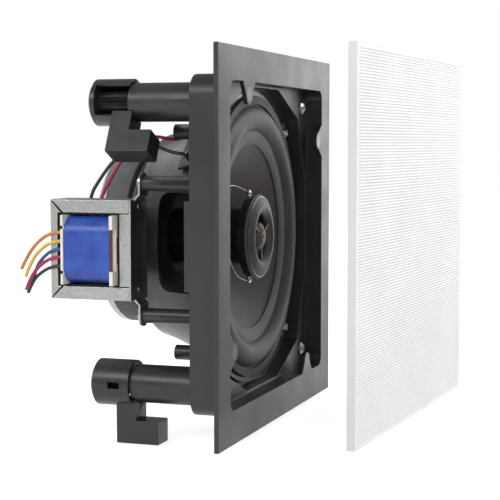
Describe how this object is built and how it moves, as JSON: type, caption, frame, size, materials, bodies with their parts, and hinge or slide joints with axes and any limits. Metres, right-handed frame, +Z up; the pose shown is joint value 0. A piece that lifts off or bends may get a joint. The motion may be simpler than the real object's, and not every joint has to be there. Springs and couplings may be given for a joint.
{
  "type": "in-wall loudspeaker",
  "caption": "Square in-wall coaxial loudspeaker: flanged tub with swing-out clamps, cone with central tweeter, line transformer behind, perforated grille lifted off in front.",
  "frame": {"origin": "centre of the flange's back face, on the wall's surface", "axes": "+X to the right seen from the front, +Y into the wall, +Z up"},
  "size_m": [0.2516, 0.2047, 0.2201],
  "materials": {
    "frame_abs": "moulded ABS, satin black",
    "tweeter_abs": "moulded ABS, satin black",
    "zinc_steel": "zinc-plated steel",
    "nickel": "nickel-plated magnet",
    "grille_white": "white powder coat on perforated steel",
    "foam": "closed-cell foam",
    "basket_black": "satin black paint on pressed steel",
    "rubber": "butyl rubber",
    "cone_black": "coated polypropylene",
    "brass": "tinned brass",
    "aluminium": "thin aluminium tube",
    "copper": "copper wire",
    "spider_cloth": "pressed resin cloth",
    "ferrite": "ground ferrite",
    "phenolic": "phenolic board",
    "dome_silk": "doped cloth",
    "tinned_wire": "tinned wire",
    "capacitor_sleeve": "shrink sleeve",
    "lamination": "varnished laminations",
    "bobbin_white": "moulded nylon",
    "tape_blue": "polyester tape",
    "lead_orange": "PVC sleeve",
    "lead_yellow": "PVC sleeve",
    "lead_blue": "PVC sleeve",
    "lead_red": "PVC sleeve",
    "lead_black": "PVC sleeve"
  },
  "bodies": {
    "speaker": {"baffle_frame": "frame_abs", "grille_magnets": "nickel", "grille_pan": "grille_white", "mounting_gasket": "foam", "basket": "basket_black", "front_gasket": "foam", "surround": "rubber", "spider": "spider_cloth", "top_plate": "zinc_steel", "magnet": "ferrite", "pole_yoke": "zinc_steel", "driver_screws": "zinc_steel", "terminal_strip": "phenolic", "terminal_lugs": "brass", "tinsel_leads": "copper", "tweeter_yoke": "zinc_steel", "tweeter_magnet": "nickel", "tweeter_pole_plate": "zinc_steel", "tweeter_housing": "tweeter_abs", "tweeter_dome": "dome_silk", "tweeter_faceplate": "tweeter_abs", "tweeter_stem": "tweeter_abs", "tweeter_terminals": "brass", "tweeter_leads": "tinned_wire", "crossover_capacitor": "capacitor_sleeve", "transformer_core": "lamination", "transformer_bobbin": "bobbin_white", "transformer_winding": "tape_blue", "transformer_frame": "zinc_steel", "transformer_mount": "zinc_steel", "transformer_screws": "zinc_steel", "tap_lead_orange": "lead_orange", "tap_lead_yellow": "lead_yellow", "tap_lead_blue": "lead_blue", "tap_lead_red": "lead_red", "tap_lead_black": "lead_black", "secondary_lead_red": "lead_red", "secondary_lead_black": "lead_black"},
    "cone": {"cone": "cone_black", "cone_eyelets": "brass", "voice_coil_former": "aluminium", "voice_coil_winding": "copper"},
    "clamp_screw_1": {"clamp_screw_1": "zinc_steel"},
    "clamp_1": {"clamp_1": "frame_abs"},
    "clamp_screw_2": {"clamp_screw_2": "zinc_steel"},
    "clamp_2": {"clamp_2": "frame_abs"},
    "clamp_screw_3": {"clamp_screw_3": "zinc_steel"},
    "clamp_3": {"clamp_3": "frame_abs"},
    "clamp_screw_4": {"clamp_screw_4": "zinc_steel"},
    "clamp_4": {"clamp_4": "frame_abs"}
  },
  "joints": [
    {"name": "cone_travel", "type": "slide", "parent": "speaker", "child": "cone", "axis": [0, -1, 0], "range_m": [-0.003, 0.003], "stiffness_N_per_m": 1200, "deforming": ["surround", "spider", "tinsel_leads", "tweeter_leads"]},
    {"name": "clamp_swing_1", "type": "hinge", "parent": "speaker", "child": "clamp_screw_1", "pos_m": [-0.078, 0.008, 0.078], "axis": [0, 1, 0], "range_deg": [-26, 64]},
    {"name": "clamp_travel_1", "type": "slide", "parent": "clamp_screw_1", "child": "clamp_1", "axis": [0, -1, 0], "range_m": [0, 0.018]},
    {"name": "clamp_swing_2", "type": "hinge", "parent": "speaker", "child": "clamp_screw_2", "pos_m": [0.078, 0.008, 0.078], "axis": [0, 1, 0], "range_deg": [0, 90]},
    {"name": "clamp_travel_2", "type": "slide", "parent": "clamp_screw_2", "child": "clamp_2", "axis": [0, -1, 0], "range_m": [0, 0.018]},
    {"name": "clamp_swing_3", "type": "hinge", "parent": "speaker", "child": "clamp_screw_3", "pos_m": [0.078, 0.008, -0.078], "axis": [0, 1, 0], "range_deg": [0, 90]},
    {"name": "clamp_travel_3", "type": "slide", "parent": "clamp_screw_3", "child": "clamp_3", "axis": [0, -1, 0], "range_m": [0, 0.018]},
    {"name": "clamp_swing_4", "type": "hinge", "parent": "speaker", "child": "clamp_screw_4", "pos_m": [-0.078, 0.008, -0.078], "axis": [0, 1, 0], "range_deg": [-90, 0]},
    {"name": "clamp_travel_4", "type": "slide", "parent": "clamp_screw_4", "child": "clamp_4", "axis": [0, -1, 0], "range_m": [0, 0.018]}
  ]
}
